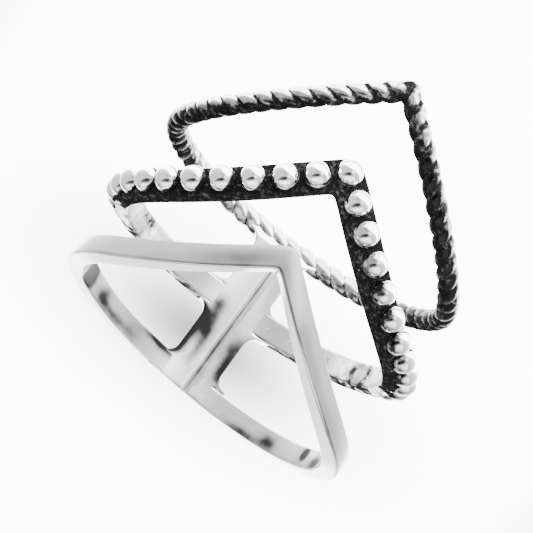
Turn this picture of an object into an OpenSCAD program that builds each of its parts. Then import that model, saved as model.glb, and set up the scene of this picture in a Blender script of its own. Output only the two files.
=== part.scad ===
// Triple chevron ring: a plain band, a beaded band and a rope band that all point the same way,
// joined by one bar at the back. The two flat bands, the beads and the bar are one soldered solid,
// and the rope band lies in a saddle at the bar's lower end. The ring lies on its side with the
// rope band down, so it rests on the rope band's point and on its back.
// Angles run round the finger: 0 is at the points, 180 at the back bar. Lengths are in mm.

/* [Finger hole] */
// Diameter of the finger hole
finger_d = 17.3; // [15:0.1:21]

/* [Plain band] */
// Thickness of the plain band, from the finger outwards
plain_t = 1.15; // [0.9:0.05:1.8]
// Width of the plain band
plain_w = 1.32; // [1:0.02:1.8]
// Height of the plain band over the beaded band, at the back
plain_step = 5.2; // [4.4:0.1:7]
// How far the plain band's point lies below its back
plain_depth = 5.35; // [3:0.05:8]
// How hollow the plain band's legs are, 1 for straight
plain_hollow = 1.52; // [1:0.01:2]
// Slope of the plain band from side to side
plain_lean = -0.06; // [-0.1:0.01:0.1]

/* [Beaded band] */
// Thickness of the rail under the beads
rail_t = 0.9; // [0.7:0.05:1.2]
// Width of the rail, at the back
rail_w = 1.5; // [1.2:0.02:2.2]
// How much wider the rail is at its point
rail_swell = 0.35; // [0:0.05:0.6]
// How far the beaded band's point lies below its back
bead_depth = 5.95; // [3:0.05:8]
// How hollow the beaded band's legs are, 1 for straight
bead_hollow = 1.4; // [1:0.01:2]
// Slope of the beaded band from side to side
bead_lean = 0.025; // [-0.1:0.005:0.1]
// Diameter of a bead
bead_d = 1.58; // [1.2:0.02:1.8]
// Distance from bead to bead along the rail
bead_pitch = 1.77; // [1.6:0.01:2.2]
// Distance of the beads' middles from the finger hole's wall
bead_out = 1.1; // [0.9:0.05:1.4]
// Beads on each side of the middle one
beads_a_side = 15; // [8:1:16]
// Beads at each end that grow smaller
small_beads = 5; // [0:1:8]
// How much smaller each of these is than the one before, in parts of a full bead
bead_shrink = 0.08; // [0:0.01:0.1]

/* [Rope band] */
// Diameter of the rope over both strands
rope_d = 1.32; // [1:0.02:1.8]
// Distance from one strand to the next along the rope
strand_step = 1.07; // [0.9:0.01:1.5]
// Drop from the beaded band to the rope band, at the back
rope_step = 4.85; // [4.4:0.1:7]
// How far the rope band's point lies below its back
rope_depth = 6.95; // [4:0.05:9]
// How hollow the rope band's legs are, 1 for straight
rope_hollow = 1.09; // [1:0.01:2]

/* [Back bar] */
// Width of the back bar
bar_w = 3.1; // [2.5:0.1:5]
// How far round the finger hole the bar is soldered from the middle of the back, in degrees
bar_turn = -0.8; // [-5:0.1:5]
// Thickness of the back bar
bar_t = 1.0; // [0.8:0.05:1.15]
// Radius of the windows' round corners beside the bar
window_r = 0.8; // [0.5:0.1:1.6]
// Width of the seam down the inside of the bar
seam_w = 0.3; // [0.2:0.05:0.6]
// Distance of the seam from the middle of the bar
seam_off = 0.3; // [-0.8:0.05:0.8]
// Depth of the seam
seam_deep = 0.14; // [0.05:0.01:0.3]
// Gap between the rope and the saddle that it lies in
saddle_gap = 0.03; // [0.02:0.01:0.1]

/* [Hidden] */

finger_r = finger_d / 2;
plain_r = finger_r + plain_t;
rail_r = finger_r + rail_t;
bead_r = finger_r + bead_out;
rope_clear = 0.02;
rope_r = finger_r + rope_d / 2 + rope_clear;
bar_r = finger_r + bar_t;

// Round the corner of a band's edge, in parts of its radius: the point's outside and its inside
tip_soft = 0.043;
crook_soft = 0.02;

// How high the bar's lowest window begins over the rope's middle, in parts of the rope
rope_under = 0.3;

// A rope section is two round strands that share a waist
strand_r = rope_d * 0.27;
strand_off = rope_d / 2 - strand_r;
rope_sides = 12;
rings_a_strand = 6;

// How far a band lies below its back at an angle, with the point rounded by soft
function drop(a, depth, hollow, soft) =
    cos(a) > 0 ? depth * pow(max(1 - sqrt(pow(sin(a), 2) + pow(soft, 2)), 0), hollow) : 0;

// Steepness of a band's leg at an angle, on the radius r
function steep(a, depth, hollow, r) =
    cos(a) > 0 ? depth * hollow * pow(max(1 - abs(sin(a)), 0), hollow - 1) * cos(a) / r : 0;

// Angles round a band: close together at the point, and 180 taken once
fan = [for (a = [-176:4:-12]) a, for (a = [-8:1:8]) a, for (a = [12:4:180]) a];

// A ruled wall that runs round the axis, wider than the band is thick, to cut a tube with
module fan_cutter(z, w, swell, depth, hollow, lean, r) {
    count = len(fan);
    inside = finger_r - 2;
    outside = r + 2;
    rows = [for (a = fan)
        let (wide = w + swell * max(cos(a), 0),
             half = wide / 2 * sqrt(1 + pow(steep(a, depth, hollow, r), 2)),
             tilt = z + lean * r * sin(a),
             low = tilt - drop(a, depth, hollow, tip_soft) - half,
             high = tilt - drop(a, depth, hollow, crook_soft) + half)
        [[inside, low], [outside, low], [outside, high], [inside, high]]];
    points = [for (i = [0:count - 1]) for (p = rows[i])
        [p[0] * sin(fan[i]), -p[0] * cos(fan[i]), p[1]]];
    faces = [for (i = [0:count - 1]) for (j = [0:3])
        let (a = i * 4 + j, b = i * 4 + (j + 1) % 4,
             c = (i + 1) % count * 4 + j, d = (i + 1) % count * 4 + (j + 1) % 4)
        each [[a, b, d], [a, d, c]]];
    polyhedron(points, faces);
}

module tube(r_in, r_out, low, high) {
    translate([0, 0, low])
        difference() {
            cylinder(h = high - low, r = r_out, $fn = 180);
            translate([0, 0, -1]) cylinder(h = high - low + 2, r = r_in, $fn = 180);
        }
}

// A flat band of true thickness that follows its chevron
module band(z, w, swell, t, depth, hollow, lean) {
    intersection() {
        tube(finger_r, finger_r + t, z - depth - 2 * w, z + 2 * w);
        fan_cutter(z, w, swell, depth, hollow, lean, finger_r + t);
    }
}

// Places along a path at equal distances: a table of length against angle, from 0 to 180 degrees
function on_path(a, z, r, depth, hollow, lean) =
    [r * sin(a), -r * cos(a), z + lean * r * sin(a) - drop(a, depth, hollow, 0)];

function run_up(points, i = 0, sum = 0, out = []) =
    i == len(points) ? out
    : let (s = i == 0 ? 0 : sum + norm(points[i] - points[i - 1]))
      run_up(points, i + 1, s, concat(out, [s]));

table_step = 1.5;
table_angles = [for (a = [0:table_step:180]) a];

function length_table(r, depth, hollow) =
    let (s = run_up([for (a = table_angles) on_path(a, 0, r, depth, hollow, 0)]))
    [for (i = [0:len(s) - 1]) [s[i], table_angles[i]]];

bead_table = length_table(bead_r, bead_depth, bead_hollow);
rope_table = length_table(rope_r, rope_depth, rope_hollow);

// The size of bead k in parts of a full one, and how far along the rail it sits from the middle bead
function bead_size(k) = 1 - bead_shrink * max(k - beads_a_side + small_beads, 0);
function bead_place(k) =
    k == 0 ? 0 : bead_place(k - 1) + bead_pitch * (bead_size(k) + bead_size(k - 1)) / 2;

// The rope: half of its length, a whole number of strands, and one ring's place and size
rope_half = rope_table[len(rope_table) - 1][0];
strands = 2 * round(rope_half / strand_step);
ring_count = strands * rings_a_strand;
ring_gap = 2 * rope_half / ring_count;
rope_z = -rope_step;

function rope_angle(s) = sign(s) * lookup(abs(s), rope_table);
function rope_at(a) = on_path(a, rope_z, rope_r, rope_depth, rope_hollow, 0);
function unit(v) = v / norm(v);
function rope_along(a) =
    a >= 0 ? unit(rope_at(a + 0.5) - rope_at(max(a - 0.5, 0))) : unit(rope_at(min(a + 0.5, 0)) - rope_at(a - 0.5));

function strand_reach(f) =
    abs(cos(f)) * strand_off + sqrt(pow(strand_r, 2) - pow(strand_off * sin(f), 2));

// Rings near the point lean over by degrees, until the first one lies on the mitre of the two legs
leg_slope = rope_depth * rope_hollow / rope_r;
mitre_room = 1.4 * leg_slope * rope_d / 2;
function lean_over(s) = (s < 0 ? 1 : -1) * leg_slope * max(1 - abs(s) / mitre_room, 0);

rope_points = [for (i = [0:ring_count - 1])
    let (k = i > ring_count / 2 ? i - ring_count : i, s = k * ring_gap,
         a = rope_angle(s), at = rope_at(a), along = rope_along(a),
         out = [sin(a), -cos(a), 0], side = cross(along, out),
         twist = 90 + k * 180 / rings_a_strand)
    for (j = [0:rope_sides - 1])
        let (f = j * 360 / rope_sides, reach = strand_reach(f),
             up = reach * cos(f + twist), over = reach * sin(f + twist))
        at + up * out + over * (side + lean_over(s) * along)];

// How the ring rests: the lowest points at the rope's front and back, and the turn between them
under_point = min([for (p = rope_points) if (abs(p[0]) < 1 && p[1] < 0) p[2]]);
under_back = min([for (p = rope_points) if (abs(p[0]) < 1 && p[1] > 0) p[2]]);
rest_tilt = -atan((under_back - under_point) / (2 * rope_r));
function rest_y(p) = p[1] * cos(rest_tilt) - p[2] * sin(rest_tilt);
function rest_z(p) = p[1] * sin(rest_tilt) + p[2] * cos(rest_tilt);
rest_lift = -min([for (p = rope_points) rest_z(p)]);
plain_top = [0, plain_r, plain_step + plain_w / 2];
rest_front = min([for (p = rope_points) rest_y(p)]);
rest_shift = -(rest_front + rest_y(plain_top)) / 2;

module plain_band() {
    color("gainsboro") band(plain_step, plain_w, 0, plain_t, plain_depth, plain_hollow, plain_lean);
}

module bead_rail() {
    color("dimgray") band(0, rail_w, rail_swell, rail_t, bead_depth, bead_hollow, bead_lean);
}

module beads() {
    color("silver")
        for (k = [-beads_a_side:beads_a_side]) {
            a = sign(k) * lookup(bead_place(abs(k)), bead_table);
            translate(on_path(a, 0, bead_r, bead_depth, bead_hollow, bead_lean))
                rotate([0, 0, a - 90]) sphere(d = bead_d * bead_size(abs(k)), $fn = 32);
        }
}

module rope() {
    faces = [for (i = [0:ring_count - 1]) for (j = [0:rope_sides - 1])
        let (a = i * rope_sides + j, b = i * rope_sides + (j + 1) % rope_sides,
             c = (i + 1) % ring_count * rope_sides + j,
             d = (i + 1) % ring_count * rope_sides + (j + 1) % rope_sides)
        each [[a, b, d], [a, d, c]]];
    color("slategray") polyhedron(rope_points, faces);
}

// The corner that a window leaves between the bar and a band, rounded
module window_corner(z, up) {
    for (side = [-1, 1])
        translate([side * bar_w / 2, z])
            difference() {
                translate([side > 0 ? 0 : -window_r, up > 0 ? 0 : -window_r]) square(window_r);
                translate([side * window_r, up * window_r]) circle(r = window_r, $fn = 64);
            }
}

module bar_outline() {
    translate([-bar_w / 2, rope_z]) square([bar_w, plain_step - rope_z]);
    window_corner(plain_step - plain_w / 2, -1);
    window_corner(rail_w / 2, 1);
    window_corner(-rail_w / 2, -1);
    window_corner(rope_z + rope_d * rope_under, 1);
}

module back_bar() {
    color("lightgray")
        intersection() {
            tube(finger_r, bar_r, rope_z - rope_d, plain_step + plain_w);
            rotate([90, 0, bar_turn]) mirror([0, 0, 1]) linear_extrude(bar_r + 1) bar_outline();
        }
}

module seam() {
    long = plain_step - rope_z + 2;
    rotate([0, 0, bar_turn])
        translate([-seam_off - seam_w / 2, finger_r - 1, rope_z + rope_d / 2])
            cube([seam_w, 1 + seam_deep, long]);
}

// The hollow at the bar's lower end that the rope lies in
module rope_saddle() {
    translate([0, 0, rope_z])
        rotate_extrude($fn = 180) translate([rope_r, 0]) circle(d = rope_d + 2 * saddle_gap, $fn = 48);
}

// Turns the ring onto its side and sets it down with the middle of its box over the origin
module at_rest() {
    translate([0, rest_shift, rest_lift]) rotate([rest_tilt, 0, 0]) children();
}

module ring_frame() {
    at_rest() {
        difference() {
            union() {
                plain_band();
                bead_rail();
                back_bar();
            }
            seam();
            rope_saddle();
        }
        beads();
    }
}

module rope_band() {
    at_rest() rope();
}

ring_frame();
rope_band();
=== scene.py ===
import bpy
import numpy as np
from mathutils import Matrix, Vector


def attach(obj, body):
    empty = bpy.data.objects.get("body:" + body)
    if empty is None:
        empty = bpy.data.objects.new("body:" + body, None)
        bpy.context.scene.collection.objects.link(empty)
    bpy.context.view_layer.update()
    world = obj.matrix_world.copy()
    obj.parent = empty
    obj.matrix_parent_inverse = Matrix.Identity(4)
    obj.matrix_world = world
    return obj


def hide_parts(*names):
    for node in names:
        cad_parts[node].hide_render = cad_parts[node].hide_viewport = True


# Chevron ring lying on its rope side: plain band, beaded band, rope band and the bar at the back.
# Shapes are worked out in the ring's own frame, in mm: the finger's axis is z, the points are at -y.
# Angles run round the finger, 0 at the points and above 0 on the picture's left leg.
# In the dictionaries a ramp is (start, size), a bell (middle, size), and a spot two places, two sizes
# and a strength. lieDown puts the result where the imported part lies.

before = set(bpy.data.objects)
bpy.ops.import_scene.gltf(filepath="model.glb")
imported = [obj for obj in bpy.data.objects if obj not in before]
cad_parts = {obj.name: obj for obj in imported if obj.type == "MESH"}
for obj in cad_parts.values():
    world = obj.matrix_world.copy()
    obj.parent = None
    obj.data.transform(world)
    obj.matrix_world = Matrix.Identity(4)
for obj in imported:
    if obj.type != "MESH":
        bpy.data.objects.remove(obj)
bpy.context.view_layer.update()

ring = {
    "holeR": 8.65,  # finger hole's radius
    "tilt": -20.9391,  # how far the ring leans where it lies, in degrees about x
    "shift": 1.1265, "lift": 8.5152,  # and how far it is moved then, along y and up
    "tipSoft": 0.043, "crookSoft": 0.02,  # rounding of a point's outer and inner corner, as sines
    "bandSteps": 900, "crowd": 0.42,  # places round the finger, and how they crowd at the point and the back
    "pathSteps": 3600,  # short steps that lengths along a path are added up from, on each side
    "barTurn": -0.8,  # where the bar sits, in degrees from the middle of the back
}


def lieDown(points):
    # y and z turned about x by the tilt, then moved by shift and lift, and mm made metres
    t = np.radians(ring["tilt"])
    x, y, z = points[..., 0], points[..., 1], points[..., 2]
    turned = np.stack([x, y * np.cos(t) - z * np.sin(t), y * np.sin(t) + z * np.cos(t)], axis=-1)
    return (turned + [0, ring["shift"], ring["lift"]]) * 0.001


def unit(v):
    return v / np.linalg.norm(v, axis=-1, keepdims=True)


def ramp(value, start, size):
    # from 0 at the start to 1 a size further on; it runs the other way where the size is below 0
    return np.clip((value - start) / size, 0, 1)


def bell(value, middle, size):
    # e to the minus square of the distance from the middle, measured in sizes
    return np.exp(-((value - middle) / size) ** 2)


def spots(x, y, places):
    # soft spots added up: each is its strength times a bell curve of x times a bell curve of y
    total = 0
    for atX, atY, sizeX, sizeY, strength in places:
        total = total + strength * bell(x, atX, sizeX) * bell(y, atY, sizeY)
    return total


def gridFaces(rows, cols, closeRows):
    # quads between neighbours of a grid whose columns run round, and whose rows may run round too
    i, j = np.meshgrid(np.arange(rows if closeRows else rows - 1), np.arange(cols), indexing="ij")
    nextRow, nextCol = (i + 1) % rows, (j + 1) % cols
    quads = [i * cols + j, i * cols + nextCol, nextRow * cols + nextCol, nextRow * cols + j]
    return np.stack(quads, axis=-1).reshape(-1, 4)


def capFaces(row, cols, middle):
    # triangles from one row of the grid, which runs round, to a middle point
    j = np.arange(cols)
    return np.stack([row * cols + j, row * cols + (j + 1) % cols, np.full(cols, middle)], axis=-1)


def volumeInside(points, faces):
    # six times the volume, above 0 where faces point outward: each face as triangles from its first corner
    corners = [points[faces[:, k]] for k in range(faces.shape[1])]
    pairs = zip(corners[1:-1], corners[2:])
    return sum((np.cross(corners[0], second) * third).sum() for second, third in pairs)


def closedSurface(grid, closeRows):
    # the points and faces of one grid: where its rows don't run round, each end gets a middle point
    rows, cols = grid.shape[:2]
    points, quads, caps = grid.reshape(-1, 3), gridFaces(rows, cols, closeRows), np.zeros((0, 3), int)
    if not closeRows:
        points = np.concatenate([points, grid[:1].mean(axis=1), grid[-1:].mean(axis=1)])
        low = capFaces(0, cols, rows * cols)[:, ::-1]
        caps = np.concatenate([low, capFaces(rows - 1, cols, rows * cols + 1)])
    if volumeInside(points, quads) + volumeInside(points, caps) < 0:
        quads, caps = quads[:, ::-1], caps[:, ::-1]
    return points, quads, caps


def addPiece(name, grids, closeRows, marks, material):
    # one mesh of closed surfaces, laid down as the ring lies; its marks become attributes of the points
    points, quads, caps, values = [], [], [], {key: [] for key in marks[0]}
    count = 0
    for grid, mark in zip(grids, marks):
        surface = closedSurface(grid, closeRows)
        points.append(surface[0])
        quads.append(surface[1] + count)
        caps.append(surface[2] + count)
        count += len(surface[0])
        for key, value in mark.items():
            ends = [] if closeRows else [value[0].mean(), value[-1].mean()]
            values[key].append(np.concatenate([value.reshape(-1), ends]))
    points, quads, caps = np.concatenate(points), np.concatenate(quads), np.concatenate(caps)
    mesh = bpy.data.meshes.new(name)
    mesh.vertices.add(len(points))
    mesh.vertices.foreach_set("co", lieDown(points).astype(np.float32).ravel())
    mesh.loops.add(quads.size + caps.size)
    mesh.loops.foreach_set("vertex_index", np.concatenate([quads.ravel(), caps.ravel()]).astype(np.int32))
    mesh.polygons.add(len(quads) + len(caps))
    starts = np.concatenate([np.arange(len(quads)) * 4, quads.size + np.arange(len(caps)) * 3])
    mesh.polygons.foreach_set("loop_start", starts.astype(np.int32))
    mesh.polygons.foreach_set("use_smooth", np.ones(len(starts), bool))
    mesh.update(calc_edges=True)
    mesh.validate()
    for key, value in values.items():
        layer = mesh.attributes.new(key, "FLOAT", "POINT")
        layer.data.foreach_set("value", np.concatenate(value).astype(np.float32))
    mesh.materials.append(material)
    piece = bpy.data.objects.new(name, mesh)
    bpy.context.collection.objects.link(piece)
    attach(piece, "root")
    print(name, len(mesh.polygons), "faces")
    return piece


def newGroup(name, inputs, outputs):
    # inputs that start as a tuple are colours, and so is the output called Color
    group = bpy.data.node_groups.new(name, "ShaderNodeTree")
    for label, value in inputs.items():
        kind = "NodeSocketColor" if isinstance(value, tuple) else "NodeSocketFloat"
        socket = group.interface.new_socket(name=label, in_out="INPUT", socket_type=kind)
        socket.default_value = value
    for label in outputs:
        kind = "NodeSocketColor" if label == "Color" else "NodeSocketFloat"
        group.interface.new_socket(name=label, in_out="OUTPUT", socket_type=kind)
    return group, group.nodes.new("NodeGroupInput"), group.nodes.new("NodeGroupOutput")


def feed(tree, sockets, values):
    # each value is linked to its socket if it is another node's output, or else set on it
    for socket, value in zip(sockets, values):
        if isinstance(value, bpy.types.NodeSocket):
            tree.links.new(value, socket)
        elif value is not None:
            socket.default_value = value


def mathNode(tree, operation, a, b=None, c=None, clamp=False):
    node = tree.nodes.new("ShaderNodeMath")
    node.operation = operation
    node.use_clamp = clamp
    feed(tree, node.inputs, (a, b, c))
    return node.outputs[0]


def vectorNode(tree, operation, a, b=None):
    node = tree.nodes.new("ShaderNodeVectorMath")
    node.operation = operation
    feed(tree, node.inputs, (a, b))
    return node.outputs["Value" if operation == "DOT_PRODUCT" else "Vector"]


def rangeNode(tree, value, low, high, toLow=0.0, toHigh=1.0):
    # a smooth step between two numbers as the value goes from low to high
    node = tree.nodes.new("ShaderNodeMapRange")
    node.interpolation_type = "SMOOTHSTEP"
    feed(tree, node.inputs, (value, low, high, toLow, toHigh))
    return node.outputs[0]


def noiseNode(tree, place, scale, detail, roughness):
    node = tree.nodes.new("ShaderNodeTexNoise")
    feed(tree, [node.inputs[key] for key in ("Vector", "Scale", "Detail", "Roughness")],
         (place, scale, detail, roughness))
    return node.outputs["Fac"]


def mixColor(tree, factor, a, b):
    # inputs 6 and 7 and output 2 are the node's colours
    node = tree.nodes.new("ShaderNodeMix")
    node.data_type = "RGBA"
    feed(tree, (node.inputs[0], node.inputs[6], node.inputs[7]), (factor, a, b))
    return node.outputs[2]


def objectPlace(tree):
    return tree.nodes.new("ShaderNodeTexCoord").outputs["Object"]


def attribute(tree, name):
    node = tree.nodes.new("ShaderNodeAttribute")
    node.attribute_name = name
    return node.outputs["Fac"]


# tones of the silver, and the dark tones it is mixed towards for oxide, tarnish, stains and painted shade
tones = {
    "silver": (0.66, 0.66, 0.655, 1), "barSilver": (0.78, 0.78, 0.77, 1), "beadSilver": (0.8, 0.8, 0.79, 1),
    "oxide": (0.009, 0.009, 0.009, 1), "tarnishedAndShaded": (0.012, 0.012, 0.012, 1),
    "stainAndShade": (0.015, 0.015, 0.015, 1), "paintedShade": (0.05, 0.05, 0.05, 1), "paper": (0.35, 0.35, 0.35, 1),
}
oxideLook = {
    "patches": (4.0, 0.6), "pits": (3000.0, 4.0, 0.7),  # noise: scale where it is fixed, detail, roughness
    "edge": (0.38, 0.62), "flecks": (0.5, 0.75, 1.0, 11.0), "clouds": (0.3, 0.7, 0.5, 1.3),
    "dullRough": 0.15, "oxideRough": 0.28,  # roughness that tarnish and oxide add to the silver's
}
polishLook = {
    "grain": (2.0, 0.5), "waves": (420.0, 2.0, 0.5), "clouds": (1100.0, 4.0, 0.6), "cloudStrength": 0.6,
    "stained": (0.12, 1.15), "anyStain": (0.0, 0.2), "uneven": (0.35, 0.65, 0.6, 1.15),
    "grainRough": 0.1, "stainRough": 0.2, "grainHeight": 0.12,
}


def makeOxideGroup():
    # black oxide in the low places: its edge is broken by noise, and it is rough, flecked and pitted
    look = oxideLook
    group, start, end = newGroup(
        "oxideInLowPlaces",
        {"Amount": 0.5, "Patch Scale": 900.0, "Patch Strength": 0.5, "Silver": tones["silver"],
         "Oxide": tones["oxide"], "Silver Roughness": 0.18, "Tarnish And Shade": 0.0},
        ("Color", "Metallic", "Roughness", "Height"))
    place = objectPlace(group)
    patches = noiseNode(group, place, start.outputs["Patch Scale"], *look["patches"])
    pits = noiseNode(group, place, *look["pits"])
    strength = mathNode(group, "MULTIPLY", start.outputs["Patch Strength"], 2.0)
    broken = mathNode(group, "MULTIPLY_ADD", mathNode(group, "SUBTRACT", patches, 0.5), strength,
                      start.outputs["Amount"])
    mask = rangeNode(group, broken, *look["edge"])
    flecks = group.nodes.new("ShaderNodeVectorMath")
    flecks.operation = "SCALE"
    feed(group, (flecks.inputs[0], flecks.inputs["Scale"]),
         (start.outputs["Oxide"], rangeNode(group, pits, *look["flecks"])))
    # tarnish and painted shade: one input mixes the silver towards a grey-black in patches
    clouds = rangeNode(group, patches, *look["clouds"])
    cloud = mathNode(group, "MULTIPLY", start.outputs["Tarnish And Shade"], clouds, clamp=True)
    tarnishedAndShaded = mixColor(group, cloud, start.outputs["Silver"], tones["tarnishedAndShaded"])
    worn = mathNode(group, "MULTIPLY_ADD", cloud, look["dullRough"], start.outputs["Silver Roughness"])
    feed(group, [end.inputs[key] for key in ("Color", "Metallic", "Roughness", "Height")],
         (mixColor(group, mask, tarnishedAndShaded, flecks.outputs[0]),
          mathNode(group, "SUBTRACT", 1.0, mask),
          mathNode(group, "MULTIPLY_ADD", mask, look["oxideRough"], worn, clamp=True),
          mathNode(group, "MULTIPLY", mask, mathNode(group, "SUBTRACT", pits, 0.5))))
    return group


def makePolishGroup():
    # polished silver as it is worn: fine grain, cloudy stains and soft waves left by the buffing wheel; the
    # stain input also carries painted shade, and the Shade input mixes in painted shade, made patchy by the
    # same waves
    look = polishLook
    group, start, end = newGroup(
        "buffedSilver",
        {"Stain And Shade": 0.0, "Grain Scale": 5200.0, "Silver": tones["silver"], "Tarnish And Shade": tones["stainAndShade"],
         "Base Roughness": 0.16, "Shade": 0.0},
        ("Color", "Roughness", "Height"))
    place = objectPlace(group)
    grain = noiseNode(group, place, start.outputs["Grain Scale"], *look["grain"])
    waves = noiseNode(group, place, *look["waves"])
    cloud = noiseNode(group, place, *look["clouds"])
    broken = mathNode(group, "MULTIPLY_ADD", mathNode(group, "SUBTRACT", cloud, 0.5), look["cloudStrength"],
                      start.outputs["Stain And Shade"])
    mask = mathNode(group, "MULTIPLY", rangeNode(group, broken, *look["stained"]),
                    rangeNode(group, start.outputs["Stain And Shade"], *look["anyStain"]))
    uneven = rangeNode(group, waves, *look["uneven"])
    # painted shade: the Shade input, made patchy by the waves, mixes the silver towards a dark tone
    shade = mathNode(group, "MULTIPLY", start.outputs["Shade"], uneven, clamp=True)
    paintedShade = mixColor(group, shade, start.outputs["Silver"], tones["paintedShade"])
    rough = mathNode(group, "MULTIPLY_ADD", grain, look["grainRough"], start.outputs["Base Roughness"])
    feed(group, [end.inputs[key] for key in ("Color", "Roughness", "Height")],
         (mixColor(group, mask, paintedShade, start.outputs["Tarnish And Shade"]),
          mathNode(group, "MULTIPLY_ADD", mask, look["stainRough"], rough, clamp=True),
          mathNode(group, "MULTIPLY_ADD", grain, look["grainHeight"], waves)))
    return group


oxideGroup, polishGroup = makeOxideGroup(), makePolishGroup()


def silverMaterial(name, group, values, links, strength, distance):
    # a principled shader fed by one group; links name the mesh's marks that drive the group
    material = bpy.data.materials.new(name)
    material.use_nodes = True
    tree = material.node_tree
    shader = next(n for n in tree.nodes if n.type == "BSDF_PRINCIPLED")
    node = tree.nodes.new("ShaderNodeGroup")
    node.node_tree = group
    for key, value in values.items():
        node.inputs[key].default_value = value
    for key, mark in links.items():
        tree.links.new(attribute(tree, mark), node.inputs[key])
    shader.inputs["Specular IOR Level"].default_value = 0.0
    tree.links.new(node.outputs["Color"], shader.inputs["Base Color"])
    tree.links.new(node.outputs["Roughness"], shader.inputs["Roughness"])
    if "Metallic" in node.outputs:
        tree.links.new(node.outputs["Metallic"], shader.inputs["Metallic"])
    else:
        shader.inputs["Metallic"].default_value = 1.0
    relief = tree.nodes.new("ShaderNodeBump")
    relief.inputs["Strength"].default_value = strength
    relief.inputs["Distance"].default_value = distance
    tree.links.new(node.outputs["Height"], relief.inputs["Height"])
    tree.links.new(relief.outputs["Normal"], shader.inputs["Normal"])
    return material


oxideMarks = {"Amount": "oxide", "Tarnish And Shade": "tarnishAndShade"}
plainSilver = silverMaterial("plainSilver", polishGroup, {"Base Roughness": 0.2},
                             {"Stain And Shade": "stainAndShade", "Shade": "shade"}, strength=0.4, distance=0.00002)
barSilver = silverMaterial("barSilver", polishGroup, {"Base Roughness": 0.14, "Silver": tones["barSilver"]},
                           {"Stain And Shade": "stainAndShade"}, strength=0.4, distance=0.00003)
railSilver = silverMaterial("railSilver", oxideGroup, {"Patch Scale": 1500.0, "Patch Strength": 0.8},
                            oxideMarks, strength=0.9, distance=0.00004)
beadSilver = silverMaterial("beadSilver", oxideGroup,
                            {"Patch Scale": 1700.0, "Silver Roughness": 0.05, "Silver": tones["beadSilver"]},
                            oxideMarks, strength=0.6, distance=0.00003)
ropeSilver = silverMaterial("ropeSilver", oxideGroup, {"Patch Scale": 2100.0, "Silver Roughness": 0.12},
                            oxideMarks, strength=0.9, distance=0.00004)
print("materials made")

seam = {"at": -0.3, "width": 0.13, "deep": 0.12, "innerFace": 0.05}  # it is cut where v is below innerFace


def dropAt(band, a, soft):
    # depth times (1 - the root of sine squared and soft squared) to the power hollow, on the front half
    fall = np.maximum(1 - np.sqrt(np.sin(a) ** 2 + soft ** 2), 0) ** band["hollow"]
    return np.where(np.cos(a) > 0, band["depth"] * fall, 0)


def steepAt(band, a, r):
    # the slope of that drop on the radius r: depth times hollow times (1 - the sine's size) to the power
    # hollow less 1, times the cosine, over r
    fall = np.maximum(1 - np.abs(np.sin(a)), 0) ** (band["hollow"] - 1)
    return np.where(np.cos(a) > 0, band["depth"] * band["hollow"] * fall * np.cos(a) / r, 0)


def roundTheFinger(steps):
    # angles all round, close together at the point and at the back: pi times t less crowd times the sine
    # of 2 pi t, where t goes from -1 to 1
    t = np.linspace(-1, 1, steps, endpoint=False)
    return np.pi * t - ring["crowd"] * np.sin(2 * np.pi * t)


def seamDepth(x):
    # depth of the groove at a place across the bar: a bell curve
    return seam["deep"] * bell(x, seam["at"], seam["width"])


def softOblong(width, thick, edge, along=10, across=8, corner=6):
    # a rectangle from -width/2 to width/2 and 0 to thick, each corner a quarter circle of radius edge
    turns = np.radians(np.linspace(0, 90, corner + 1))
    c, s = edge * np.cos(turns), edge * np.sin(turns)
    x, y = width / 2 - edge, thick - edge
    sideX, sideY = np.linspace(-x, x, along + 1)[1:-1], np.linspace(edge, y, across + 1)[1:-1]
    left, right = np.full(across - 1, -width / 2), np.full(across - 1, width / 2)
    low, high = np.zeros(along - 1), np.full(along - 1, thick)
    us = [x + c, sideX[::-1], -x - s, left, -x - c, sideX, x + s, right]
    vs = [y + s, high, y + c, sideY[::-1], edge - s, low, edge - c, sideY]
    return np.concatenate(us), np.concatenate(vs)


def bandSurface(band):
    # an oblong carried round the finger: its height is the band's place and lean less the drop, its
    # half width is stretched by the root of 1 and the slope squared, and the seam is cut in at the back
    a = roundTheFinger(ring["bandSteps"])[:, None]
    u, v = softOblong(band["width"], band["thick"], band["edge"])
    outer = ring["holeR"] + band["thick"]
    wide = band["width"] + band["swell"] * np.maximum(np.cos(a), 0)
    half = wide / 2 * np.sqrt(1 + steepAt(band, a, outer) ** 2)
    middle = band["z"] + band["lean"] * outer * np.sin(a)
    low = middle - dropAt(band, a, ring["tipSoft"]) - half
    high = middle - dropAt(band, a, ring["crookSoft"]) + half
    z = (low + high) / 2 + u / band["width"] * (high - low)
    r = ring["holeR"] + v - band["dome"] * (v / band["thick"]) * (2 * u / band["width"]) ** 2
    groove = seamDepth(r * np.sin(a - np.radians(ring["barTurn"])))
    r = r + np.where((np.cos(a) < 0) & (v < seam["innerFace"]), groove, 0)
    points = np.stack([r * np.sin(a), -r * np.cos(a), z], axis=-1)
    return points, np.degrees(a) + 0 * u, u + 0 * a, v + 0 * a


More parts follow.
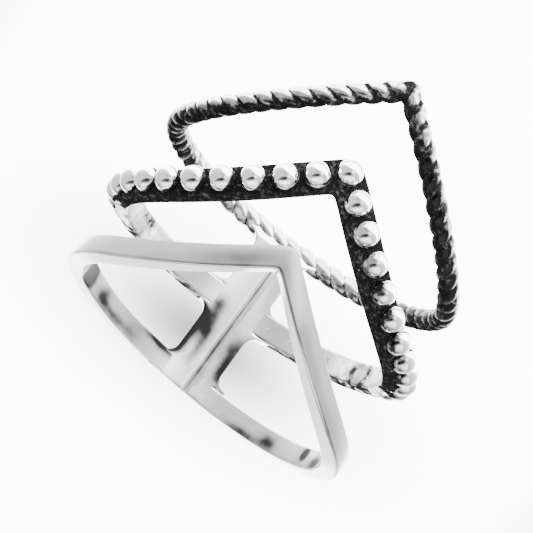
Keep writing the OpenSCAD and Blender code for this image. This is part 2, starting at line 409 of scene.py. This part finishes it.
# spots are placed by the angle and by the place across the band
plain = {
    "z": 5.2, "width": 1.32, "thick": 1.15, "depth": 5.35, "hollow": 1.52, "lean": -0.06,
    "swell": 0, "edge": 0.11, "dome": 0.05,  # dome: how much lower the outer face is at its sides
    "inner": (0.3, -0.3), "outer": (0.95, 0.1), "front": (85, -20),  # by the height, the height and the angle
    "haze": (95, 10), "hazeStrength": 0.28,  # a thin stain all over the inner face, past the shoulders
    "dirt": ((110, 0.1, 6, 0.8, 2.4), (128, 0.0, 5, 0.6, 0.7), (138, 0.35, 12, 0.3, 0.7),
             (163, -0.55, 9, 0.3, 1.1), (150, 0, 5, 0.7, 0.35), (-151, 0.5, 8, 0.3, 0.8),
             (-138, 0.2, 5, 0.5, 0.8), (-115.7, -0.2, 2.2, 0.45, 1.8), (-103, 0.2, 6, 0.5, 1.0)),
    # painted shade on the outer face: a base level, a spot near the point that is a painted reflection, a
    # spot on the right leg, and two dark lines along the edges
    "shade": 0.12, "shadeSpots": ((10, 0.15, 15, 0.45, 0.36), (-30, 0.3, 32, 0.35, 0.4)),
    "shadeLines": ((-0.6, 0.05, 0.75), (0.57, 0.04, 0.6)),  # place across, size and strength
    # painted shade: a dark line along the outer face's far edge, put in with the stains
    "paintedFarLine": (-0.64, 0.025), "paintedFarStrength": 1.1,  # the dark line along the outer face's far edge
}
points, angle, across, out = bandSurface(plain)
haze = plain["hazeStrength"] * ramp(np.abs(angle), *plain["haze"])
outer = ramp(np.abs(angle), *plain["front"]) * ramp(out, *plain["outer"])
stainAndShade = ramp(out, *plain["inner"]) * (haze + spots(angle, across, plain["dirt"]))
# painted shade: the far edge's dark line is added to the real stains in one mark
stainAndShade = stainAndShade + plain["paintedFarStrength"] * outer * bell(across, *plain["paintedFarLine"])
# painted shade of the outer face: its base, spots and edge lines
shade = plain["shade"] + spots(angle, across, plain["shadeSpots"])
shade = shade + sum(strength * bell(across, at, size) for at, size, strength in plain["shadeLines"])
marks = {"stainAndShade": stainAndShade, "shade": outer * shade}
plainBand = addPiece("plain_band", [points], True, [marks], plainSilver)

rail = {
    "z": 0.0, "width": 1.5, "thick": 0.9, "depth": 5.95, "hollow": 1.4, "lean": 0.025,
    "swell": 0.35, "edge": 0.1, "dome": 0.0,  # swell: how much wider at the point
    "inner": (0.12, -0.12),
    "bare": (118, 14), "nearBare": (84, 14), "nearSide": (0.6, 0.1),  # where the outer oxide ends
    "oxide": 0.95, "bareOxide": 0.5, "waveOxide": 0.15, "waves": 9, "nearOxide": -0.05,
    "bars": ((-121.7, 0.2, 3, 0.8, 1.0), (-113, 0.2, 2.5, 0.8, 1.0), (122, -0.4, 8, 0.25, 0.8)),
    "innerOxide": 0.22, "barOxide": 0.3,  # bars: dark stripes across the inner face
    "nearTarnish": 0.85, "innerTarnish": 0.6, "barTarnish": 0.5,
    "tarnished": (148, -22), "leastTarnish": 0.08,  # the inner face clears towards the back bar
}
points, angle, across, out = bandSurface(rail)
near = ramp(across, *rail["nearSide"]) * ramp(np.abs(angle), *rail["nearBare"])
bare = np.maximum(ramp(np.abs(angle), *rail["bare"]), near)  # the near side is bare sooner than the rest
worn = rail["bareOxide"] + rail["waveOxide"] * np.cos(np.radians(angle * rail["waves"]))
worn = worn + rail["nearOxide"] * near
inner = ramp(out, *rail["inner"])
bars = spots(angle, across, rail["bars"])
oxide = (1 - bare) * rail["oxide"] + bare * worn
oxide = oxide * (1 - inner) + inner * (rail["innerOxide"] + rail["barOxide"] * bars)
tarnishAndShade = rail["innerTarnish"] + rail["barTarnish"] * bars
tarnishAndShade = inner * tarnishAndShade * np.maximum(ramp(np.abs(angle), *rail["tarnished"]), rail["leastTarnish"])
marks = {"oxide": oxide, "tarnishAndShade": np.maximum(rail["nearTarnish"] * near, tarnishAndShade)}
beadRail = addPiece("bead_rail", [points], True, [marks], railSilver)

bead = {
    "d": 1.58, "pitch": 1.77, "out": 1.1, "aSide": 15, "small": 5, "shrink": 0.08, "rows": 22, "cols": 40,
    "less": 0.032, "dent": 0.011, "dentSizes": (2.2, 3.6, 5.5),  # less: keeps the waves inside the true ball
    "oxideLeft": 0.52, "oxideRight": 0.42, "bareTop": 1.2,
    "fromPoint": (1, 3),  # by the bead's number: those beside the point stay clean
    "inward": (0.95, 0.1, 0.3), "shaded": (-0.2727, 0.4545), "crusted": (0.3, 0.25), "crust": 0.6,
    "speckWay": (0.14, 0.22, 0.96), "specked": (0.35, 0.3), "specks": 0.46, "speckBeads": 3,
}


def pathAt(band, a, r, lean):
    # a point at the angle a on the radius r, dropped as the band is, and raised by lean times its x
    x = r * np.sin(a)
    return np.stack([x, -r * np.cos(a), band["z"] + lean * x - dropAt(band, a, 0)], axis=-1)


def pathTable(band, r):
    # angles from 0 to 180 degrees, and each one's length along the path from the point: short steps added up
    a = np.radians(np.linspace(0, 180, ring["pathSteps"] + 1))
    steps = np.linalg.norm(np.diff(pathAt(band, a, r, 0), axis=0), axis=1)
    return a, np.concatenate([[0], np.cumsum(steps)])


def angleAtLength(table, length):
    # read back from that table, with the sign of the length
    return np.sign(length) * np.interp(np.abs(length), table[1], table[0])


def ballSurface(radius, seed):
    # a ball with soft dents: the radius times 1 less a little plus a few slow waves of the direction
    draw = np.random.default_rng(seed)
    lat = np.radians(np.linspace(0, 180, bead["rows"] + 2)[1:-1])[:, None]
    lon = np.radians(np.linspace(0, 360, bead["cols"], endpoint=False))[None, :]
    way = np.stack([np.sin(lat) * np.cos(lon), np.sin(lat) * np.sin(lon), np.cos(lat) + 0 * lon], axis=-1)
    wave = 0
    for size in bead["dentSizes"]:
        wave = wave + bead["dent"] * np.sin(way @ (unit(draw.normal(size=3)) * size) + draw.uniform(0, 6.3))
    return way * (radius * (1 - bead["less"] + wave))[..., None], way


def beadMarks(k, a, way):
    # oxide: the leg's start less bareTop times the rise, plus a crust on the left leg, or a few specks on
    # the right; painted shade, mixed in like tarnish: on the right leg, the side that faces the other leg
    rise = way @ np.array([np.sin(a), -np.cos(a), 0])  # 1 on the bead's top, -1 in the rail
    towards = way @ unit(np.array(bead["inward"])) * -np.sign(k)  # 1 on the side that faces the other leg
    crust = bead["crust"] * ramp(k, *bead["fromPoint"]) * ramp(towards, *bead["crusted"])
    foot = bead["oxideLeft" if k > 0 else "oxideRight"] - bead["bareTop"] * rise + crust
    specks = bead["specks"] * ramp(way @ unit(np.array(bead["speckWay"])), *bead["specked"])
    oxide = np.clip(np.maximum(foot, specks * (-bead["speckBeads"] <= k < 0)), 0, 1)
    # painted shade: on the right leg, the side of each bead that faces the other leg is darkened
    shaded = ramp(-k, *bead["fromPoint"]) * ramp(towards, *bead["shaded"])
    return {"oxide": oxide, "tarnishAndShade": shaded}


beadR = ring["holeR"] + bead["out"]
table = pathTable(rail, beadR)
number = np.arange(bead["aSide"] + 1)
sizes = 1 - bead["shrink"] * np.maximum(number - bead["aSide"] + bead["small"], 0)  # the last ones shrink
places = np.concatenate([[0], np.cumsum(bead["pitch"] * (sizes[1:] + sizes[:-1]) / 2)])
balls, marks = [], []
for k in range(-bead["aSide"], bead["aSide"] + 1):
    a = angleAtLength(table, np.sign(k) * places[abs(k)])
    ball, way = ballSurface(bead["d"] / 2 * sizes[abs(k)], 100 + k)
    balls.append(ball + pathAt(rail, a, beadR, rail["lean"]))
    marks.append(beadMarks(k, a, way))
beads = addPiece("beads", balls, False, marks, beadSilver)

rope = {
    "d": 1.32, "strandStep": 1.07, "z": -4.85, "clear": 0.02, "depth": 6.95, "hollow": 1.09,
    "wire": 0.47, "slack": 0.02, "steps": 1392, "sides": 16, "mitreRoom": 1.4,
    "bare": (120, 20), "left": (62, 25), "right": (0, 25), "point": (0, 13),  # by the angle
    # painted light: lightWay is where light comes from for the right leg's painted shade
    "lightWay": (-0.8, -0.15, -0.58), "lit": (0.5, 0.4), "rightLit": 0.7,  # towards the picture's right
    "deepPower": 1.6, "underPower": 1.5,
    # the under keys set oxide and painted shade on the side towards the beads; the right leg's key sets
    # painted shade
    "deepOxide": 1.6, "leastOxide": 0.06, "underOxideAndShade": 0.45, "pointOxide": 0.34,
    "bareDeep": 0.3, "bareUnder": 0.5, "bareTarnish": 0.7,  # how much of each is gone at the back
    "leastTarnish": 0.12, "underTarnishAndShade": 2.2, "rightLegShade": 0.85, "leftTarnish": 0.6, "deepTarnish": 0.4,
}


def ropeMarks(a, at, points, waist):
    # oxide adds the depth in the groove to a power, the side towards the beads and a bell at the point;
    # tarnish adds that side to a power, each leg past its ramp and the groove; at the back both are less.
    # The side towards the beads is oxide and painted shade, and the right leg's darkening is painted shade
    offset = points - at[:, None]
    reach = np.linalg.norm(offset, axis=-1)
    deep = 1 - ramp(reach, waist, rope["d"] / 2 - waist)  # 1 in the groove, 0 on the strand's top
    # oxide and painted shade: the side towards the beads
    under = np.clip(offset[..., 2] / reach, 0, 1)  # the side towards the beads is left dark
    lit = offset @ np.array(rope["lightWay"]) / reach
    angle = np.degrees(a)[:, None]
    bare, left = ramp(np.abs(angle), *rope["bare"]), ramp(angle, *rope["left"])
    # painted shade: the right leg is darkened, less on the strands' side that faces lightWay
    right = ramp(-angle, *rope["right"]) * (1 + rope["rightLit"] * (0.5 - ramp(lit, *rope["lit"])))
    oxide = rope["deepOxide"] * deep ** rope["deepPower"] * (1 - rope["bareDeep"] * bare) + rope["leastOxide"]
    oxide = oxide + rope["underOxideAndShade"] * under * (1 - rope["bareUnder"] * bare)
    oxide = oxide + rope["pointOxide"] * bell(angle, *rope["point"])
    tarnishAndShade = rope["leastTarnish"] + rope["underTarnishAndShade"] * under ** rope["underPower"]
    tarnishAndShade = tarnishAndShade + rope["rightLegShade"] * right + rope["leftTarnish"] * left + rope["deepTarnish"] * deep
    return {"oxide": np.clip(oxide, 0, 1), "tarnishAndShade": tarnishAndShade * (1 - rope["bareTarnish"] * bare)}


def ropeSurfaces():
    # two round wires: the middle of each turns about the rope's path by 180 degrees for each strand step,
    # and near the point the turns lean over, to a mitre on the point itself
    r = ring["holeR"] + rope["d"] / 2 + rope["clear"]
    table = pathTable(rope, r)
    half = table[1][-1]
    strands = 2 * round(half / rope["strandStep"])
    s = np.linspace(-half, half, rope["steps"], endpoint=False)
    a = angleAtLength(table, s)
    at = pathAt(rope, a, r, 0)
    step = np.radians(0.5)
    ahead = np.where(s < 0, np.minimum(a + step, 0), a + step)
    behind = np.where(s < 0, a - step, np.maximum(a - step, 0))
    along = unit(pathAt(rope, ahead, r, 0) - pathAt(rope, behind, r, 0))
    out = np.stack([np.sin(a), -np.cos(a), 0 * a], axis=-1)
    slope = rope["depth"] * rope["hollow"] / r
    room = rope["mitreRoom"] * slope * rope["d"] / 2
    lean = np.where(s < 0, 1, -1) * slope * np.maximum(1 - np.abs(s) / room, 0)
    side = np.cross(along, out) + lean[:, None] * along
    off = rope["d"] / 2 - rope["slack"] - rope["wire"]
    waist = np.sqrt(rope["wire"] ** 2 - off ** 2)  # half the rope's thickness where the wires touch
    turn = np.linspace(0, 2 * np.pi, rope["sides"], endpoint=False)[None, :, None]
    surfaces, marks = [], []
    for start in (90, 270):
        twist = np.radians(start) + s * np.pi * strands / (2 * half)
        away = np.cos(twist)[:, None] * out + np.sin(twist)[:, None] * side
        middle = at + off * away
        course = unit(np.roll(middle, -1, axis=0) - np.roll(middle, 1, axis=0))
        first = unit(away - (away * course).sum(axis=1, keepdims=True) * course)
        second = np.cross(course, first)
        wire = rope["wire"] * (np.cos(turn) * first[:, None] + np.sin(turn) * second[:, None])
        surfaces.append(middle[:, None] + wire)
        marks.append(ropeMarks(a, at, surfaces[-1], waist))
    return surfaces, marks


surfaces, marks = ropeSurfaces()
ropeBand = addPiece("rope_strands", surfaces, True, marks, ropeSilver)
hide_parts("rope_band")

# spots are placed by x across the bar and z along it
bar = {
    "width": 3.1, "thick": 1.0, "corner": 0.8, "edge": 0.14, "top": 5.72, "bottom": -4.75,
    "rows": 240, "along": 40, "across": 6, "flare": 1.5,  # flare: its sides move more than its middle
    "hold": (-1.6, 0.4), "ropeTop": 0.4,  # hold: how far inside a band the bar stays wide
    "thinOver": 0.5, "thinTo": 0.55, "sunk": 0.004,  # it thins out over the rope
    "inBand": (0, 0.1), "wings": (1.45, 0.4), "dip": 0.22, "dipMiddle": 0.45,  # its wings sink into the bands
    "stainAndShade": 0.25, "seamStain": 1.1, "seamDark": 0.09, "edgeDarkWidth": 0.42, "edgeRight": 1.15, "edgeLeft": 0.45,
    "upper": (0.4, 0.8), "inner": (0.5, -0.5),
    "dirt": ((0.85, 1.8, 0.45, 1.2, 0.82), (1.1, 0.4, 0.5, 0.6, 0.6), (0.5, 3.2, 0.32, 1.3, 0.6),
             (-0.95, 2.2, 0.5, 0.9, 0.55), (-1.3, 3.7, 0.45, 1.3, 0.5), (-0.6, 4.6, 0.2, 0.7, 0.4)),
}


def barHalfWidth(z):
    # half the bar's width, widened by a quarter circle towards each band that bounds a window
    half, r = np.full_like(z, bar["width"] / 2), bar["corner"]
    bounds = ((plain["z"] - plain["width"] / 2, -1), (rail["width"] / 2, 1),
              (-rail["width"] / 2, -1), (rope["z"] + bar["ropeTop"], 1))
    for at, way in bounds:
        d = (z - at) * way
        flare = r - np.sqrt(np.maximum(r ** 2 - np.clip(r - d, 0, r) ** 2, 0))
        half = half + np.where(d >= 0, flare, r * ramp(d, *bar["hold"]))
    return half


def barSurface():
    # a soft oblong carried along the finger's axis: x is stretched to the bar's width there, by the power
    # flare of its part of the width, and y is the root of the radius squared less x squared
    z = np.linspace(bar["bottom"], bar["top"], bar["rows"])[:, None]
    u, v = softOblong(bar["width"], bar["thick"], bar["edge"], bar["along"], bar["across"])
    x = np.sign(u) * (barHalfWidth(z) - bar["width"] / 2) * np.abs(2 * u / bar["width"]) ** bar["flare"] + u
    v = np.where(v < seam["innerFace"], v + seamDepth(x) - bar["sunk"], v)
    thick = bar["thinTo"] + (1 - bar["thinTo"]) * ramp(z, bar["bottom"], bar["thinOver"])
    v = bar["thick"] / 2 + (v - bar["thick"] / 2) * thick
    inPlain, inRail = (band["width"] / 2 - np.abs(z - band["z"]) for band in (plain, rail))
    dip = ramp(np.maximum(inPlain, inRail), *bar["inBand"]) * ramp(np.abs(x), *bar["wings"])
    v = bar["dipMiddle"] + (v - bar["dipMiddle"]) * (1 - bar["dip"] * dip)
    y = np.sqrt((ring["holeR"] + v) ** 2 - x ** 2)
    t = np.radians(ring["barTurn"])
    points = np.stack([x * np.cos(t) - y * np.sin(t), x * np.sin(t) + y * np.cos(t), z + 0 * x], axis=-1)
    return points, x, v, z


points, x, out, z = barSurface()
# darker along both long edges in the upper part, more on the side where x is above 0
edges = bell(np.abs(x), barHalfWidth(z), bar["edgeDarkWidth"]) * ramp(z, *bar["upper"])
stainAndShade = bar["stainAndShade"] + bar["seamStain"] * bell(x, seam["at"], bar["seamDark"]) + spots(x, z, bar["dirt"])
stainAndShade = stainAndShade + edges * np.where(x > 0, bar["edgeRight"], bar["edgeLeft"])
marks = {"stainAndShade": stainAndShade * ramp(out, *bar["inner"])}
backBar = addPiece("back_bar", [points], False, [marks], barSilver)
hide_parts("ring_frame")
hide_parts("ring_frame")
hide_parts("ring_frame")
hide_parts("ring_frame")
print("ring made")


def softSpot(tree, x, y, atX, atY, sizeX, sizeY, turned=0.0):
    # e to the minus square of the distance from a place, measured along two turned axes
    c, s = float(np.cos(turned)), float(np.sin(turned))
    dx, dy = mathNode(tree, "SUBTRACT", x, atX), mathNode(tree, "SUBTRACT", y, atY)
    first = mathNode(tree, "MULTIPLY_ADD", dx, c / sizeX, mathNode(tree, "MULTIPLY", dy, s / sizeX))
    second = mathNode(tree, "MULTIPLY_ADD", dx, -s / sizeY, mathNode(tree, "MULTIPLY", dy, c / sizeY))
    square = mathNode(tree, "MULTIPLY_ADD", first, first, mathNode(tree, "MULTIPLY", second, second))
    return mathNode(tree, "EXPONENT", mathNode(tree, "MULTIPLY", square, -1.0))


# painted light: the paper glows as a light table does, a painted pool dimmer to each side and far away, with
# a painted shadow behind the bar
paper = {
    "half": 1.0, "roughness": 0.9, "glow": 12.0, "farGlow": 1.3,
    "lit": (0.0, 0.035, 0.05, 0.1), "litTo": 0.75,
    "aside": (0.019, 0.026), "asideGlow": 0.18, "shadowAt": (0.0005, 0.0225, 0.01, 0.008), "shadow": 0.97,
}


def paperMaterial():
    material = bpy.data.materials.new("paper")
    material.use_nodes = True
    tree = material.node_tree
    shader = next(n for n in tree.nodes if n.type == "BSDF_PRINCIPLED")
    shader.inputs["Base Color"].default_value = tones["paper"]
    shader.inputs["Roughness"].default_value = paper["roughness"]
    shader.inputs["Specular IOR Level"].default_value = 0.0
    shader.inputs["Emission Color"].default_value = (1, 1, 1, 1)
    place = tree.nodes.new("ShaderNodeSeparateXYZ")
    tree.links.new(objectPlace(tree), place.inputs[0])
    x, y = place.outputs[0], place.outputs[1]
    lit = softSpot(tree, x, y, *paper["lit"])
    lit = rangeNode(tree, lit, 0.0, paper["litTo"], paper["farGlow"], paper["glow"])
    aside = rangeNode(tree, mathNode(tree, "ABSOLUTE", x), *paper["aside"], 1.0, paper["asideGlow"])
    lit = mathNode(tree, "MAXIMUM", mathNode(tree, "MULTIPLY", lit, aside), paper["farGlow"])
    # painted shadow: a dark spot in the glow behind the bar
    clear = mathNode(tree, "MULTIPLY_ADD", softSpot(tree, x, y, *paper["shadowAt"]), -paper["shadow"], 1.0)
    tree.links.new(mathNode(tree, "MULTIPLY", lit, clear), shader.inputs["Emission Strength"])
    return material


mesh = bpy.data.meshes.new("floor")
side = paper["half"]
mesh.from_pydata([(-side, -side, 0), (side, -side, 0), (side, side, 0), (-side, side, 0)], [], [(0, 1, 2, 3)])
mesh.materials.append(paperMaterial())
floor = bpy.data.objects.new("floor", mesh)
bpy.context.collection.objects.link(floor)

camera = {  # in the ring's own frame, in mm, before it is laid down
    "place": (6.764, -289.131, 63.868), "lens": 353.6,
    "back": (0.02137, -0.97546, 0.21914), "up": (0.59778, -0.16323, -0.78486),
}
turn = Matrix.Rotation(np.radians(ring["tilt"]), 3, "X")
back, up = turn @ Vector(camera["back"]), turn @ Vector(camera["up"])
back.normalize()
right = up.cross(back).normalized()
up = back.cross(right)

# the studio is laid out by the slope that mirrors it to the camera: x to the right, y up, from -1 to 1;
# its soft spots are x, y, two sizes and a turn
studio = {
    "base": 1.5, "dark": 0.06, "wedge": (-0.16, -0.1, 0.5, 0.2, 0.25), "wedgeEdge": (0.3, 0.85),
    "rimWay": (-0.6, -0.8), "rim": (0.55, 0.8), "front": (0.0, 0.3, 0.16, 0.1, -0.6), "frontDark": 0.5,
    "ceilingAt": (-0.28, -0.4, 0.22, 0.16), "ceiling": 3.0, "stripeDark": 0.9,
    "lowStripe": (0.0, -0.6, 0.5, 0.03), "edgeStripe": (0.05, -0.74, 0.4, 0.03),
    "windowAt": (0.27, 0.06, 0.1, 0.09), "window": 4.0, "grazing": (0.7, 0.78), "strip": 3.5,
}
world = bpy.data.worlds.new("studio")
bpy.context.scene.world = world
world.use_nodes = True
tree = world.node_tree
way = tree.nodes.new("ShaderNodeTexCoord").outputs["Generated"]
slope = vectorNode(tree, "NORMALIZE", vectorNode(tree, "ADD", way, back))
x, y = vectorNode(tree, "DOT_PRODUCT", slope, right), vectorNode(tree, "DOT_PRODUCT", slope, up)
wedge = rangeNode(tree, softSpot(tree, x, y, *studio["wedge"]), *studio["wedgeEdge"])
wayX, wayY = studio["rimWay"]
low = mathNode(tree, "MULTIPLY_ADD", x, wayX, mathNode(tree, "MULTIPLY", y, wayY))
rim = rangeNode(tree, low, *studio["rim"])
front = mathNode(tree, "MULTIPLY", softSpot(tree, x, y, *studio["front"]), studio["frontDark"])
shade = mathNode(tree, "MAXIMUM", mathNode(tree, "MAXIMUM", wedge, rim), front)
level = mathNode(tree, "MULTIPLY_ADD", shade, studio["dark"] - studio["base"], studio["base"])
level = mathNode(tree, "MULTIPLY_ADD", softSpot(tree, x, y, *studio["ceilingAt"]), studio["ceiling"], level)
stripes = [softSpot(tree, x, y, *studio[key]) for key in ("lowStripe", "edgeStripe")]
stripe = mathNode(tree, "MULTIPLY_ADD", mathNode(tree, "MAXIMUM", *stripes), -studio["stripeDark"], 1.0)
level = mathNode(tree, "MULTIPLY", level, stripe)
level = mathNode(tree, "MULTIPLY_ADD", softSpot(tree, x, y, *studio["windowAt"]), studio["window"], level)
square = mathNode(tree, "MULTIPLY_ADD", x, x, mathNode(tree, "MULTIPLY", y, y))
grazing = mathNode(tree, "MULTIPLY", rangeNode(tree, square, *studio["grazing"]), rim)
brighter = mathNode(tree, "SUBTRACT", studio["strip"], level)  # past the dark rim, for the bands' near sides
level = mathNode(tree, "MULTIPLY_ADD", brighter, grazing, level)
sky = tree.nodes["Background"]
sky.inputs["Color"].default_value = (1, 1, 1, 1)
tree.links.new(level, sky.inputs["Strength"])

lamp = {"place": (-0.2, -0.06, 0.25), "aim": (0, 0, 0), "size": 0.3, "power": 0.6}
lampData = bpy.data.lights.new("topBox", "AREA")
lampData.shape = "SQUARE"
lampData.size = lamp["size"]
lampData.energy = lamp["power"]
topBox = bpy.data.objects.new("topBox", lampData)
topBox.location = lamp["place"]
topBox.rotation_euler = (Vector(lamp["aim"]) - Vector(lamp["place"])).to_track_quat("-Z", "Y").to_euler()
bpy.context.collection.objects.link(topBox)

lensData = bpy.data.cameras.new("camera")
lensData.sensor_width = 36.0
lensData.lens = camera["lens"]
lensData.clip_start = 0.01
eye = bpy.data.objects.new("camera", lensData)
place = Matrix.Translation(Vector(lieDown(np.array(camera["place"]))))
eye.matrix_world = place @ Matrix((right, up, back)).transposed().to_4x4()
bpy.context.collection.objects.link(eye)
bpy.context.scene.camera = eye
print("stage set")
